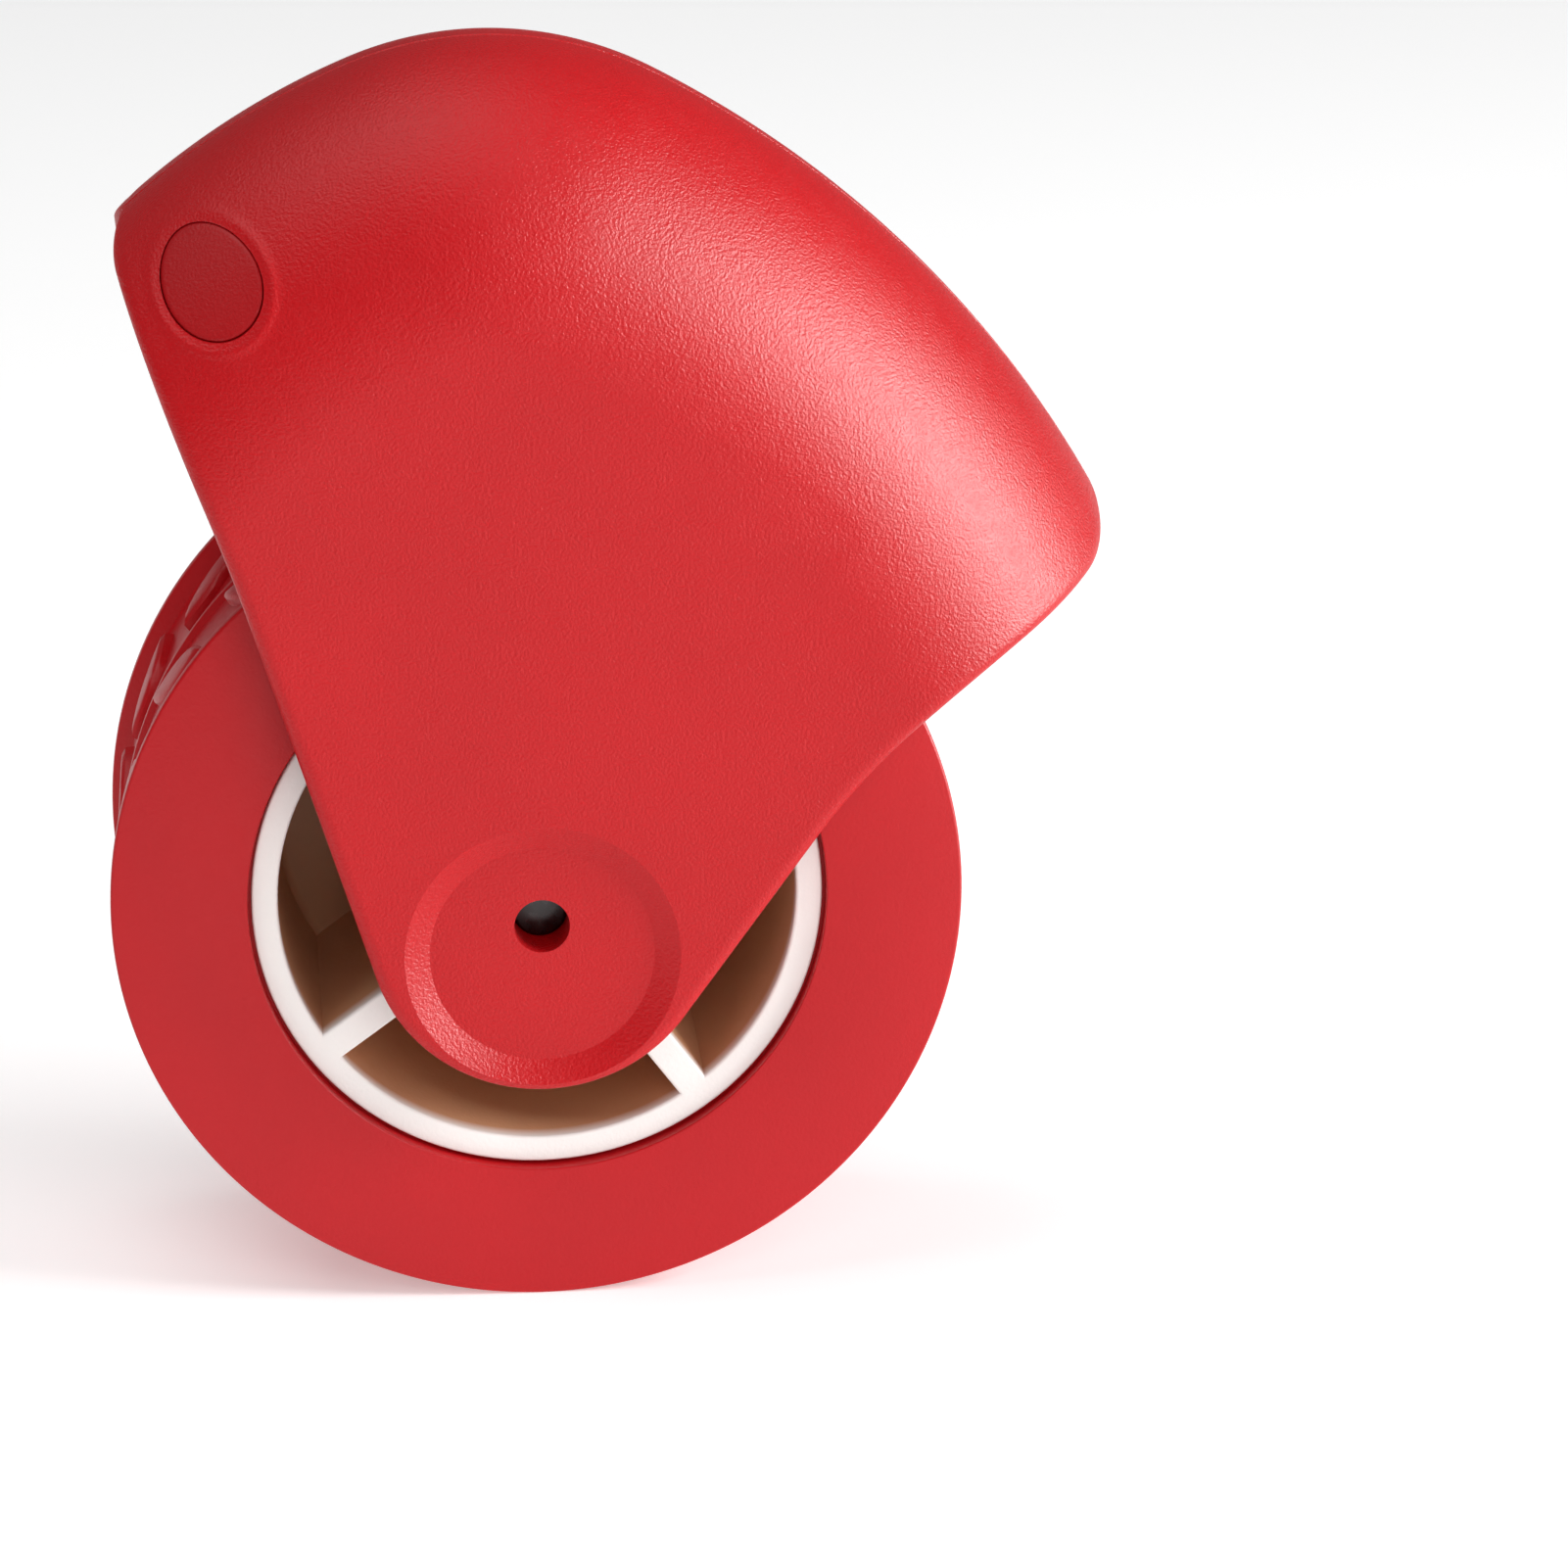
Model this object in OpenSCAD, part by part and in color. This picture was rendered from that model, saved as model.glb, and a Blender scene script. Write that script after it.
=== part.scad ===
// Pastry cutter wheel: a palm grip of two moulded shells carries a wide embossing and
// cutting roller on a steel axle.  The wheel's axis lies along Y and the front faces -Y.
// The lowest point of the wheel is at Z = 0, and the origin is under the middle of the box
// around the whole tool.

/* [Wheel] */
// Diameter over the cutting rims
wheel_d = 84; // [60:1:110]
// Width over the two side faces
wheel_w = 33; // [22:0.5:44]
// Outer diameter of the white drum inside the ring
drum_d = 56.4; // [44:0.2:64]
// Wall of the drum's rim
drum_wall = 2.6; // [1.6:0.1:4]
// Thickness of the drum's four ribs
rib_t = 3.1; // [1.6:0.1:5]
// Angle of the first rib above the X axis
rib_angle = 36.5; // [0:0.5:89]
// How far the drum's faces lie behind the ring's faces
drum_sink = 1.25; // [0.4:0.05:3]
// Width of each cutting rim at its crest
rim_land = 1.4; // [0.6:0.1:3]
// Depth of the embossing band below the cutting rims
band_depth = 1.7; // [0.8:0.1:3]
// Number of embossing leaves along each side of the stem
leaf_count = 20; // [10:1:28]
// Height of the leaves above the band
leaf_h = 1; // [0.4:0.1:1.5]

/* [Handle] */
// Thickness of the handle over its two flat faces
handle_t = 50; // [40:0.5:60]
// Radius of the rounded lower end of each arm
arm_r = 17; // [13:0.5:24]
// Height of the middle of the crown's tightest arc above the axle
crown_z = 48.1; // [44:0.1:60]
// Radius of the crown's tightest arc, at the top of the palm
crown_r = 35.3; // [28:0.1:50]
// Radius of the crown's left arc
crown_left_r = 77.55; // [55:0.05:110]
// Radius of the crown's right arc
crown_right_r = 106.7; // [80:0.1:150]
// Lean of the arms' left edge from upright
left_lean = 17.4; // [10:0.1:24]
// Lean of the arms' right edge from upright
right_lean = 35.5; // [26:0.1:40]
// Straight length of the left edge below its flare
left_run = 39; // [30:0.5:46]
// Straight length of the right edge below its flare
right_run = 22.5; // [16:0.5:30]
// Rounding of the two outer corners, seen from the front
corner_r = 4; // [3:0.1:7]
// Wall of the moulded shells
shell_wall = 2.4; // [1.6:0.1:3.2]

/* [Axle and fixings] */
// Diameter of the steel axle pin
pin_d = 5.4; // [4:0.1:8]
// Length of each end of the pin inside its shell's collar and seat
pin_grip = 3; // [2:0.1:4.5]
// Outer diameter of the drum's hub tube
hub_d = 16; // [12:0.5:22]
// Diameter of the screw plug at the handle's corner
plug_d = 9.7; // [7:0.1:12]
// Thread diameter of the handle screw
screw_d = 3.5; // [2.5:0.1:4.5]

/* [Fits] */
// Radial running clearance between the axle pin and the hub tube
run_fit = 0.05; // [0.02:0.01:0.1]
// Radial clearance of pieces that are pushed together for good
push_fit = 0.02; // [0:0.01:0.08]
// End play between the hub tube and each arm's collar
end_play = 0.3; // [0.2:0.05:1]
// Gap between the wheel's side face and each arm
side_gap = 1.4; // [0.8:0.1:3]
// Gap between the cutting rims and the guard above them
guard_gap = 2; // [1:0.1:4]

/* [Hidden] */
$fn = 96;
red = [0.78, 0.05, 0.07];
white = [0.93, 0.92, 0.89];
steel = [0.45, 0.45, 0.46];
eps = 0.01;

wheel_r = wheel_d / 2;
drum_r = drum_d / 2;
half_t = handle_t / 2;
half_w = wheel_w / 2;
pin_r = pin_d / 2;
slot_half = half_w + side_gap;
slot_r = wheel_r + guard_gap;
floor_y = half_t - shell_wall;
hub_inset = 0.4;
hub_half = half_w - hub_inset;
collar_half = hub_half + end_play;
past = 1;

// ---- outline of the handle, seen from the front, about the axle ----
crown_left_of_axle = 3.4;
crown_right_leg = [8, 15];
crown_left_leg = [-5, 12];
crown_from = atan2(crown_right_leg[1], crown_right_leg[0]);
crown_to = atan2(crown_left_leg[1], crown_left_leg[0]);
crown_lap = 0.004;
left_flare_r = 170;
left_flare_turn = 4;
right_flare_r = 67;
right_flare_turn = 24.5;
outline_margin = 1;
flare_steps = 8;
corner_steps = 7;
right_arc_steps = 12;
left_arc_steps = 8;
top_arc_steps = 8;
top_arc_trim = 5;
corner_over = 0.1;
arm_blend = 0.002;

function polar(r, a) = [r * cos(a), r * sin(a)];
function heading(lean) = [sin(lean), cos(lean)];
function side(lean) = [cos(lean), -sin(lean)];
function arc_points(c, r, from, to, n) =
  [for (i = [0 : n]) c + polar(r, from + (to - from) * i / n)];
function flip_x(list) = [for (p = list) [-p[0], p[1]]];
function backwards(list) = [for (i = [len(list) - 1 : -1 : 0]) list[i]];

crown_c = [-crown_left_of_axle, crown_z];
left_c = crown_c - (crown_left_r - crown_r) * crown_left_leg / norm(crown_left_leg);
right_c = crown_c - (crown_right_r - crown_r) * crown_right_leg / norm(crown_right_leg);

// A right-hand edge that leaves the arm's round end, runs straight, then flares outwards.
function flare_centre(lean, run, r) = arm_r * side(lean) + run * heading(lean) + r * side(lean);
function flare_points(lean, run, r, turn, inset) = let(c = flare_centre(lean, run, r))
  concat([(arm_r - inset) * side(lean)],
         [for (i = [0 : flare_steps])
           c - (r + inset) * side(lean + turn * i / flare_steps)]);

// Centre of the corner arc that touches the flare's last straight and a crown arc.
function corner_centre(lean, run, r, turn, c, crown_arc_r) = let(
    arc_r = crown_arc_r + corner_over,
    last = lean + turn,
    p = flare_centre(lean, run, r) - (r + corner_r) * side(last) - c,
    along = p * heading(last),
    s = -along + sqrt(along * along - p * p + (arc_r - corner_r) * (arc_r - corner_r)))
  c + p + s * heading(last);
function angle_of(p) = atan2(p[1], p[0]);

right_corner = corner_centre(right_lean, right_run, right_flare_r, right_flare_turn,
                             right_c, crown_right_r);
left_corner = corner_centre(left_lean, left_run, left_flare_r, left_flare_turn,
                            [-left_c[0], left_c[1]], crown_left_r);
right_touch = angle_of(right_corner - right_c);
left_touch = 180 - angle_of(left_corner - [-left_c[0], left_c[1]]);

function half_edge(lean, run, r, turn, corner, touch, inset) = concat(
    flare_points(lean, run, r, turn, inset),
    arc_points(corner, corner_r - inset, -lean - turn, touch, corner_steps));

// The handle's outline, moved inwards by inset.  It runs a little past the crown's arcs,
// where the crown's rounding trims it.
function outline_points(inset) = concat(
    [[0, 0]],
    half_edge(right_lean, right_run, right_flare_r, right_flare_turn, right_corner,
              right_touch, inset),
    arc_points(right_c, crown_right_r + outline_margin, right_touch, crown_from,
               right_arc_steps),
    arc_points(crown_c, crown_r + outline_margin, crown_from + top_arc_trim,
               crown_to - top_arc_trim, top_arc_steps),
    arc_points(left_c, crown_left_r + outline_margin, crown_to, left_touch, left_arc_steps),
    backwards(flip_x(half_edge(left_lean, left_run, left_flare_r, left_flare_turn, left_corner,
                               180 - left_touch, inset))));

module outline(inset) {
  circle(arm_r + arm_blend - inset);
  polygon(outline_points(inset));
}

// ---- place of the axle in the tool's own frame ----
box_right = right_corner[0] + corner_r;
box_left = min(-wheel_r, -left_corner[0] - corner_r);
axle_at = [-(box_right + box_left) / 2, 0, wheel_r];

module place() {
  translate(axle_at) children();
}

// A drawing on the front view, made solid from Y = -from to Y = -to.
module slab(from, to) {
  translate([0, -from, 0]) rotate([90, 0, 0]) linear_extrude(to - from) children();
}

// A profile of radius and depth in front of the wheel's middle, turned about the axle.
module turned() {
  rotate([90, 0, 0]) rotate_extrude() children();
}

// ---- handle shells ----
screw_at = [-30.4, 63.8];
dowels_at = [[4, 73], [44, 41]];
dish_at = [0, -2.9];
dish_r = 13.5;
dish_floor_r = 11;
dish_depth = 1.2;
boss_r = 8;
collar_r = 6.5;
chamfer = 0.8;
chamfer_at = half_t - dish_depth - 0.5;
rib_wall = 1.6;
stiffener_angles = [62, 96, 130];
pocket_inset = 1;
post_wall = 2;
dowel_r = 2;
dowel_l = 5;
crown_ease = 0.02;
crown_reach = 12;
cut_past = 3;

// What lies outside the crown's full rounding along one of its arcs.
module crown_cut(c, r, from, to, inset) {
  oval_r = half_t + crown_ease;
  translate([c[0], 0, c[1]])
    rotate([90, 0, 0])
      rotate_extrude(angle = to - from, start = from)
        translate([r - oval_r, 0])
          difference() {
            translate([0, -past]) square([oval_r + cut_past, oval_r + cut_past]);
            circle(oval_r - inset);
            translate([-past, -2 * past]) square([oval_r - inset + past, 2 * past]);
          }
}

module left_crown_cut(inset) {
  crown_cut(left_c, crown_left_r, crown_to - crown_lap, left_touch + crown_reach, inset);
}

module crown_cuts(inset) {
  crown_cut(right_c, crown_right_r, right_touch - crown_reach, crown_from + crown_lap, inset);
  crown_cut(crown_c, crown_r, crown_from, crown_to, inset);
  left_crown_cut(inset);
}

module crowned(inset) {
  difference() {
    slab(inset > 0 ? -eps : 0, half_t - inset) outline(inset);
    crown_cuts(inset);
  }
}

module arm_pocket_plan() {
  difference() {
    intersection() {
      outline(shell_wall);
      circle(slot_r);
    }
    circle(boss_r);
    translate(dish_at) circle(dish_floor_r - pocket_inset);
    for (a = stiffener_angles) {
      rotate(a) translate([0, -rib_wall / 2]) square([slot_r + past, rib_wall]);
    }
  }
}

// Either half of the handle before its fixings; it lies in front of the parting plane.
module shell_half() {
  difference() {
    crowned(0);
    difference() {
      crowned(shell_wall);
      turned() square([slot_r + shell_wall, half_t]);
      slab(-past, half_t) translate(screw_at) circle(plug_d / 2 + post_wall);
      for (at = dowels_at) {
        slab(-past, half_t) translate(at) circle(dowel_r + post_wall);
      }
    }
    turned() translate([0, -past]) square([slot_r, slot_half + past]);
    slab(slot_half - past, floor_y) arm_pocket_plan();
    translate([dish_at[0], -half_t - eps, dish_at[1]])
      rotate([-90, 0, 0]) cylinder(h = dish_depth + eps, r1 = dish_r, r2 = dish_floor_r);
    turned() square([pin_r + push_fit, half_t]);
    turned() translate([0, chamfer_at])
      polygon([[0, 0], [pin_r, 0], [pin_r + chamfer, chamfer], [0, chamfer]]);
  }
  difference() {
    turned() translate([0, collar_half])
      square([collar_r, slot_half - collar_half + past]);
    turned() square([pin_r + push_fit, half_t]);
  }
}

module front_shell() {
  color(red) place() {
    difference() {
      shell_half();
      slab(head_seat, half_t) translate(screw_at) circle(plug_d / 2 + push_fit);
      slab(-past, half_t) translate(screw_at) circle(screw_d / 2 + screw_slack);
    }
    for (at = dowels_at) {
      slab(-dowel_l, shell_wall) translate(at) circle(dowel_r);
    }
  }
}

module rear_shell() {
  color(red) place() mirror([0, 1, 0]) {
    difference() {
      shell_half();
      slab(-past, screw_reach + past) translate(screw_at) circle(screw_d / 2);
      for (at = dowels_at) {
        slab(-past, dowel_l + past) translate(at) circle(dowel_r + push_fit);
      }
    }
  }
}

// ---- screw and its plug ----
head_r = 3.6;
head_h = 2.4;
head_seat = 8;
cross_l = 3.6;
cross_w = 0.8;
cross_depth = 1.4;
screw_reach = 11;
screw_slack = 0.2;
plug_sink = 0.3;
plug_wall = 1.4;
plug_bottom = head_seat + head_h + 0.4;
plug_ceiling = plug_bottom + 1.2;

module handle_screw() {
  color(steel) place() {
    difference() {
      slab(head_seat, head_seat + head_h) translate(screw_at) circle(head_r);
      for (a = [0, 90]) {
        slab(head_seat + head_h - cross_depth, head_seat + head_h + past)
          translate(screw_at) rotate(a) square([cross_l, cross_w], center = true);
      }
    }
    slab(-screw_reach, head_seat) translate(screw_at) circle(screw_d / 2 - push_fit);
  }
}

// The plug's top follows the crown, so the handle stays smooth over the screw.
module screw_plug() {
  color(red) place()
    difference() {
      slab(plug_bottom, half_t) translate(screw_at) circle(plug_d / 2);
      slab(0, plug_ceiling) translate(screw_at) circle(plug_d / 2 - plug_wall);
      left_crown_cut(plug_sink);
    }
}

// ---- axle ----
pin_half = collar_half + pin_grip;
pin_chamfer = 0.4;

module axle_pin() {
  color(steel) place()
    turned() polygon([[0, -pin_half], [pin_r - pin_chamfer, -pin_half],
                      [pin_r, -pin_half + pin_chamfer], [pin_r, pin_half - pin_chamfer],
                      [pin_r - pin_chamfer, pin_half], [0, pin_half]]);
}

// ---- wheel ----
drum_half = half_w - drum_sink;
web_t = 2;
key_r = 1;
key_end = 4;
key_half = half_w - key_end;
ribs = 4;
skin = 2.2;
mouth_gap = 0.45;
mouth_depth = 1.6;
sleeve_r = drum_r + push_fit;
band_r = wheel_r - band_depth;
rim_flank = 0.8;
ring_ribs = 12;
stem_r = 0.9;
leaf_bow_r = 8.8;
leaf_bow_at = 6.2;
leaf_tilt = 40;
leaf_root = 0.6;
cover_in = sleeve_r + skin / 2;
cover_out = band_r - skin / 2;

module at_each_rib() {
  for (k = [0 : ribs - 1]) {
    rotate([0, -rib_angle - 360 / ribs * k, 0]) children();
  }
}

module hub_drum() {
  color(white) place()
    difference() {
      union() {
        difference() {
          turned() translate([0, -drum_half]) square([drum_r, 2 * drum_half]);
          turned() translate([0, -drum_half + web_t])
            square([drum_r - drum_wall, 2 * drum_half]);
        }
        turned() translate([0, -hub_half]) square([hub_d / 2, 2 * hub_half]);
        at_each_rib() {
          translate([hub_d / 2 - past, -drum_half, -rib_t / 2])
            cube([drum_r - hub_d / 2, 2 * drum_half, rib_t]);
          translate([drum_r, key_half, 0])
            rotate([90, 0, 0]) cylinder(h = 2 * key_half, r = key_r);
        }
      }
      turned() translate([0, -half_w]) square([pin_r + run_fit, wheel_w]);
    }
}

// One leaf of the embossing: a pointed oval pad on the band, standing outwards.
module leaf(angle, across, tilt) {
  rotate([0, angle, 0])
    translate([0, across, band_r - leaf_root])
      rotate(tilt)
        linear_extrude(leaf_h + leaf_root)
          intersection() {
            translate([-leaf_bow_at, 0]) circle(leaf_bow_r);
            translate([leaf_bow_at, 0]) circle(leaf_bow_r);
          }
}

module ring_profile() {
  polygon([
    [sleeve_r, -half_w + mouth_depth], [sleeve_r + mouth_gap, -half_w],
    [wheel_r, -half_w], [wheel_r, -half_w + rim_land],
    [band_r, -half_w + rim_land + rim_flank], [band_r, half_w - rim_land - rim_flank],
    [wheel_r, half_w - rim_land], [wheel_r, half_w],
    [sleeve_r + mouth_gap, half_w], [sleeve_r, half_w - mouth_depth]]);
}

module cutter_ring() {
  leaf_across = (half_w - rim_land - rim_flank) / 2;
  color(red) place() {
    difference() {
      turned() ring_profile();
      difference() {
        turned() translate([sleeve_r + skin, -half_w - past])
          square([band_r - sleeve_r - 2 * skin, wheel_w + past - skin]);
        for (k = [0 : ring_ribs - 1]) {
          rotate([0, 360 / ring_ribs * k, 0])
            translate([sleeve_r, -half_w, -rib_wall / 2])
              cube([band_r - sleeve_r - past, wheel_w, rib_wall]);
        }
      }
      turned() translate([cover_in - push_fit, -half_w - past])
        square([cover_out - cover_in + 2 * push_fit, skin + past]);
      at_each_rib() {
        translate([drum_r, half_w + past, 0])
          rotate([90, 0, 0])
            cylinder(h = half_w + past + key_half + push_fit, r = key_r + push_fit);
      }
    }
    turned() translate([band_r, 0]) circle(stem_r, $fn = 24);
    for (k = [0 : leaf_count - 1]) {
      leaf(360 / leaf_count * k, leaf_across, -leaf_tilt);
      leaf(360 / leaf_count * (k + 0.5), -leaf_across, leaf_tilt);
    }
  }
}

module ring_cover() {
  color(red) place()
    turned() translate([cover_in, -half_w]) square([cover_out - cover_in, skin]);
}

front_shell();
rear_shell();
handle_screw();
screw_plug();
axle_pin();
hub_drum();
cutter_ring();
ring_cover();
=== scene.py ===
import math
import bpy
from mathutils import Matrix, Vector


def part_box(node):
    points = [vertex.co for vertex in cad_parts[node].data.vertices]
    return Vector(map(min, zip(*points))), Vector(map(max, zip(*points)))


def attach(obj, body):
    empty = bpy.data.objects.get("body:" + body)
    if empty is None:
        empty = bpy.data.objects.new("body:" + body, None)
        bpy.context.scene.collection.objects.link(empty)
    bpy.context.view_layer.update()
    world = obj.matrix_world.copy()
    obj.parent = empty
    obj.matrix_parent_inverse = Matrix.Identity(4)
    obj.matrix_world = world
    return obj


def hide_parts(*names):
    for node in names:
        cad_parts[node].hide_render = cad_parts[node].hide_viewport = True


bl_info = {
    "name": "Pastry Cutter Wheel",
    "version": (1, 0, 0),
    "blender": (4, 5, 0),
    "location": "View3D > Sidebar > Pastry Wheel",
    "description": "Builds a pastry cutter wheel with a moulded palm grip around its CAD frame",
    "category": "Object",
}

import bmesh
import bpy
from mathutils import Matrix, Vector

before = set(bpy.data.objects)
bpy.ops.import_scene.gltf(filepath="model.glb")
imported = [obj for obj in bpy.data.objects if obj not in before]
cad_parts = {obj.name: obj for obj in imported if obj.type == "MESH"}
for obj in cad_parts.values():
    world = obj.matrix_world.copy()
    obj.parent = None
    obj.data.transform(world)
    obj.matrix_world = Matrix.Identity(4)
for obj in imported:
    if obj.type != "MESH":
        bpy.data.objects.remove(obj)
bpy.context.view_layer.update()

MM = 0.001
TAU = 2 * math.pi


def node_middle(node):
    low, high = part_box(node)
    return (Vector(low) + Vector(high)) / 2


def node_size(node):
    low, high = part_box(node)
    return Vector(high) - Vector(low)


AXLE = node_middle("axle_pin")
PLUG_AT = node_middle("screw_plug") - AXLE
PIN_R = node_size("axle_pin").x / 2
PIN_HALF = node_size("axle_pin").y / 2
PLUG_R = node_size("screw_plug").x / 2
HALF_T = node_size("rear_shell").y
WHEEL_R = node_size("cutter_ring").x / 2
HALF_W = node_size("cutter_ring").y / 2
DRUM_R = node_size("hub_drum").x / 2
CROWN_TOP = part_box("front_shell")[1][2] - AXLE.z
COLLAR_R = 6.5 * MM
END_PLAY = 0.3 * MM
COLLAR_HALF = node_size("hub_drum").y / 2 + END_PLAY
FIT = 0.02 * MM
PLUG_GAP = 0.07 * MM
PLUG_LIP = 0.22 * MM
LIP_OUT = 0.9 * MM
LIP_SPREAD = 0.55 * MM
LIP_REACH = 2.2 * MM
PAST = MM
HOLE_END = 10 * MM
PLUG_SEAT = 9 * MM
PLUG_BASE = 11 * MM
DRUM_SET_BACK = 1.25 * MM
RIM_FLANK = 0.8 * MM
SHARP = math.radians(35)
SHELL_SHARP = math.radians(20)
# Painted shade: the plug is coloured darker than the grip, standing in for the shadow of its
# shallow recess.
PLUG_PAINTED_SHADE = 0.8


# ---------------------------------------------------------------- settings


class PastryWheelGrip(bpy.types.PropertyGroup):
    arm_radius: bpy.props.FloatProperty(
        name="Arm radius", description="Radius of the arms' rounded lower ends",
        default=17 * MM, unit="LENGTH")
    crown_radius: bpy.props.FloatProperty(
        name="Crown radius", description="Radius of the grip's tightest arc, at its top",
        default=35.3 * MM, unit="LENGTH")
    crown_left_radius: bpy.props.FloatProperty(
        name="Crown left radius", description="Radius of the crown's left arc",
        default=77.55 * MM, unit="LENGTH")
    crown_right_radius: bpy.props.FloatProperty(
        name="Crown right radius", description="Radius of the crown's right arc",
        default=106.7 * MM, unit="LENGTH")
    crown_offset: bpy.props.FloatProperty(
        name="Crown offset", description="How far the crown's tightest arc lies left of the axle",
        default=3.4 * MM, unit="LENGTH")
    corner_radius: bpy.props.FloatProperty(
        name="Corner radius", description="Rounding of the two outer corners",
        default=4 * MM, unit="LENGTH")
    edge_radius: bpy.props.FloatProperty(
        name="Edge radius", description="Rounding between the flat faces and the side walls",
        default=1.3 * MM, unit="LENGTH")
    seam: bpy.props.FloatProperty(
        name="Seam chamfer", description="Chamfer along the parting line of each shell",
        default=0.3 * MM, unit="LENGTH")
    wheel_space: bpy.props.FloatProperty(
        name="Wheel space radius", description="Radius of the space that the wheel turns in",
        default=44 * MM, unit="LENGTH")
    wheel_space_half: bpy.props.FloatProperty(
        name="Wheel space half width", description="From the middle to each arm's inner face",
        default=17.9 * MM, unit="LENGTH")
    dish_radius: bpy.props.FloatProperty(
        name="Dish radius", description="Outer radius of the dish round the axle hole",
        default=13.5 * MM, unit="LENGTH")
    dish_floor_radius: bpy.props.FloatProperty(
        name="Dish floor radius", description="Radius of the dish's flat floor",
        default=11 * MM, unit="LENGTH")
    dish_depth: bpy.props.FloatProperty(
        name="Dish depth", description="Depth of the dish below the flat face",
        default=1.2 * MM, unit="LENGTH")
    dish_drop: bpy.props.FloatProperty(
        name="Dish drop", description="How far the dish's middle lies below the axle",
        default=2.9 * MM, unit="LENGTH")


class PastryWheelRoller(bpy.types.PropertyGroup):
    rim_land: bpy.props.FloatProperty(
        name="Rim land", description="Width of each cutting rim at its crest",
        default=1.4 * MM, unit="LENGTH")
    band_depth: bpy.props.FloatProperty(
        name="Band depth", description="Depth of the embossing band below the rims",
        default=1.7 * MM, unit="LENGTH")
    drum_wall: bpy.props.FloatProperty(
        name="Drum wall", description="Wall of the white drum's rim",
        default=2.6 * MM, unit="LENGTH")
    rib_width: bpy.props.FloatProperty(
        name="Rib width", description="Thickness of the drum's ribs",
        default=3.1 * MM, unit="LENGTH")
    rib_angle: bpy.props.FloatProperty(
        name="Rib angle", description="Angle of the first rib above the horizontal",
        default=math.radians(36.5), subtype="ANGLE")
    hub_radius: bpy.props.FloatProperty(
        name="Hub radius", description="Outer radius of the drum's hub tube",
        default=8 * MM, unit="LENGTH")
    leaves: bpy.props.IntProperty(
        name="Leaves", description="Embossing leaves along each side of the stem",
        default=20, min=4, max=60)
    leaf_height: bpy.props.FloatProperty(
        name="Leaf height", description="Height of the leaves above the band",
        default=1 * MM, unit="LENGTH")


class PastryWheelLook(bpy.types.PropertyGroup):
    grip_red: bpy.props.FloatVectorProperty(
        name="Grip red", description="Colour of the moulded grip", subtype="COLOR",
        size=3, min=0, max=1, default=(0.500, 0.0028, 0.0062))
    wheel_red: bpy.props.FloatVectorProperty(
        name="Wheel red", description="Colour of the cutting ring", subtype="COLOR",
        size=3, min=0, max=1, default=(0.480, 0.0030, 0.0072))
    drum_white: bpy.props.FloatVectorProperty(
        name="Drum white", description="Colour of the ribbed drum", subtype="COLOR",
        size=3, min=0, max=1, default=(0.90, 0.89, 0.86))
    # Painted shade: a warm tan that stands in for the shadow and the warm light bounced from the
    # red grip inside the drum's pockets. It is not a colour of the plastic.
    drum_painted_shade: bpy.props.FloatVectorProperty(
        name="Drum inside", description="Warmer colour of the drum's shaded pockets",
        subtype="COLOR", size=3, min=0, max=1, default=(0.62, 0.33, 0.18))


# ---------------------------------------------------------------- small tools


def smooth(piece, sharp=SHARP):
    """Shades a piece smooth, except along edges that turn by more than an angle."""
    for face in piece.data.polygons:
        face.use_smooth = True
    piece.data.set_sharp_from_angle(angle=sharp)


def settled(piece):
    """Turns what a piece's modifiers show into its plain mesh, at the same place."""
    bpy.context.view_layer.update()
    graph = bpy.context.evaluated_depsgraph_get()
    mesh = bpy.data.meshes.new_from_object(piece.evaluated_get(graph))
    piece.modifiers.clear()
    piece.data = mesh
    mesh.name = piece.name


def shown(name, bm, finish):
    """A finished piece from a bmesh, with its place in its mesh."""
    mesh = bpy.data.meshes.new(name)
    bm.to_mesh(mesh)
    bm.free()
    mesh.materials.append(finish)
    piece = bpy.data.objects.new(name, mesh)
    smooth(piece)
    bpy.context.scene.collection.objects.link(piece)
    return piece


def join_rings(bm, rings):
    """Faces between each ring of vertices and the next."""
    for near, far in zip(rings, rings[1:]):
        count = len(near)
        for i in range(count):
            j = (i + 1) % count
            bm.faces.new((near[i], near[j], far[j], far[i]))


def close_rings(bm, rings):
    """Joined rings, with a face over the first and the last."""
    join_rings(bm, rings)
    bm.faces.new(rings[0])
    bm.faces.new(rings[-1])


def revolve(profile, steps=192):
    """A closed bmesh turned about the axle, from a closed loop of (radius, y)."""
    bm = bmesh.new()
    rings = []
    for k in range(steps):
        turn = TAU * k / steps
        rings.append([bm.verts.new((AXLE.x + r * math.cos(turn), y, AXLE.z + r * math.sin(turn)))
                      for r, y in profile])
    join_rings(bm, rings + rings[:1])
    bmesh.ops.remove_doubles(bm, verts=bm.verts, dist=1e-7)
    bmesh.ops.dissolve_degenerate(bm, edges=bm.edges, dist=1e-8)
    bmesh.ops.recalc_face_normals(bm, faces=bm.faces)
    return bm


def rounded(corners, steps=4):
    """A closed loop from (r, y, rounding) corners, each turned into a small arc."""
    loop = []
    count = len(corners)
    for i, (r, y, rounding) in enumerate(corners):
        here = Vector((r, y))
        before = Vector(corners[i - 1][:2])
        after = Vector(corners[(i + 1) % count][:2])
        if rounding <= 0:
            loop.append(here)
            continue
        back = (before - here).normalized()
        ahead = (after - here).normalized()
        half = back.angle(ahead) / 2
        reach = rounding / math.tan(half)
        middle = here + (back + ahead).normalized() * rounding / math.sin(half)
        start = here + back * reach - middle
        end = here + ahead * reach - middle
        turn = start.angle_signed(end)
        for k in range(steps + 1):
            loop.append(middle + Matrix.Rotation(-turn * k / steps, 2) @ start)
    return [(p.x, p.y) for p in loop]


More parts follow.
